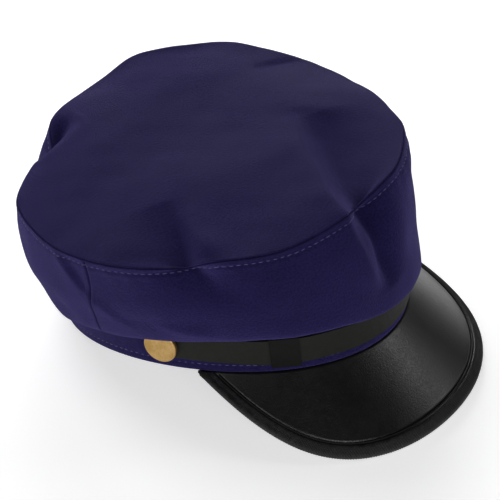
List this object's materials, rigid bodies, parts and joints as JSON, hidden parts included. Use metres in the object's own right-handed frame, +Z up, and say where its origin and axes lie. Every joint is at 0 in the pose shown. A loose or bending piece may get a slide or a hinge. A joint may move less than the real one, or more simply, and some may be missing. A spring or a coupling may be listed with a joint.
{
  "type": "peaked sailor cap",
  "caption": "Soft round-crowned cloth cap with a head band, a bent peak with a bound edge, a strap over the band and flat round side buttons.",
  "frame": {"origin": "middle of the footprint, on the surface that the cap rests on", "axes": "+Z up, the peak points to -Y, the wearer's left is +X"},
  "size_m": [0.2032, 0.267, 0.1197],
  "materials": {
    "cloth": "smooth matt navy twill",
    "peak_leather": "smooth, half gloss",
    "binding_leather": "fine grain, satin",
    "strap_leather": "matt",
    "gilt": "satin"
  },
  "bodies": {
    "root": {"crown_top": "cloth", "crown_front": "cloth", "crown_back": "cloth", "head_band": "cloth", "peak": "peak_leather", "peak_binding": "binding_leather", "strap": "strap_leather", "strap_keeper": "strap_leather", "button_right": "gilt", "button_left": "gilt"}
  },
  "joints": []
}
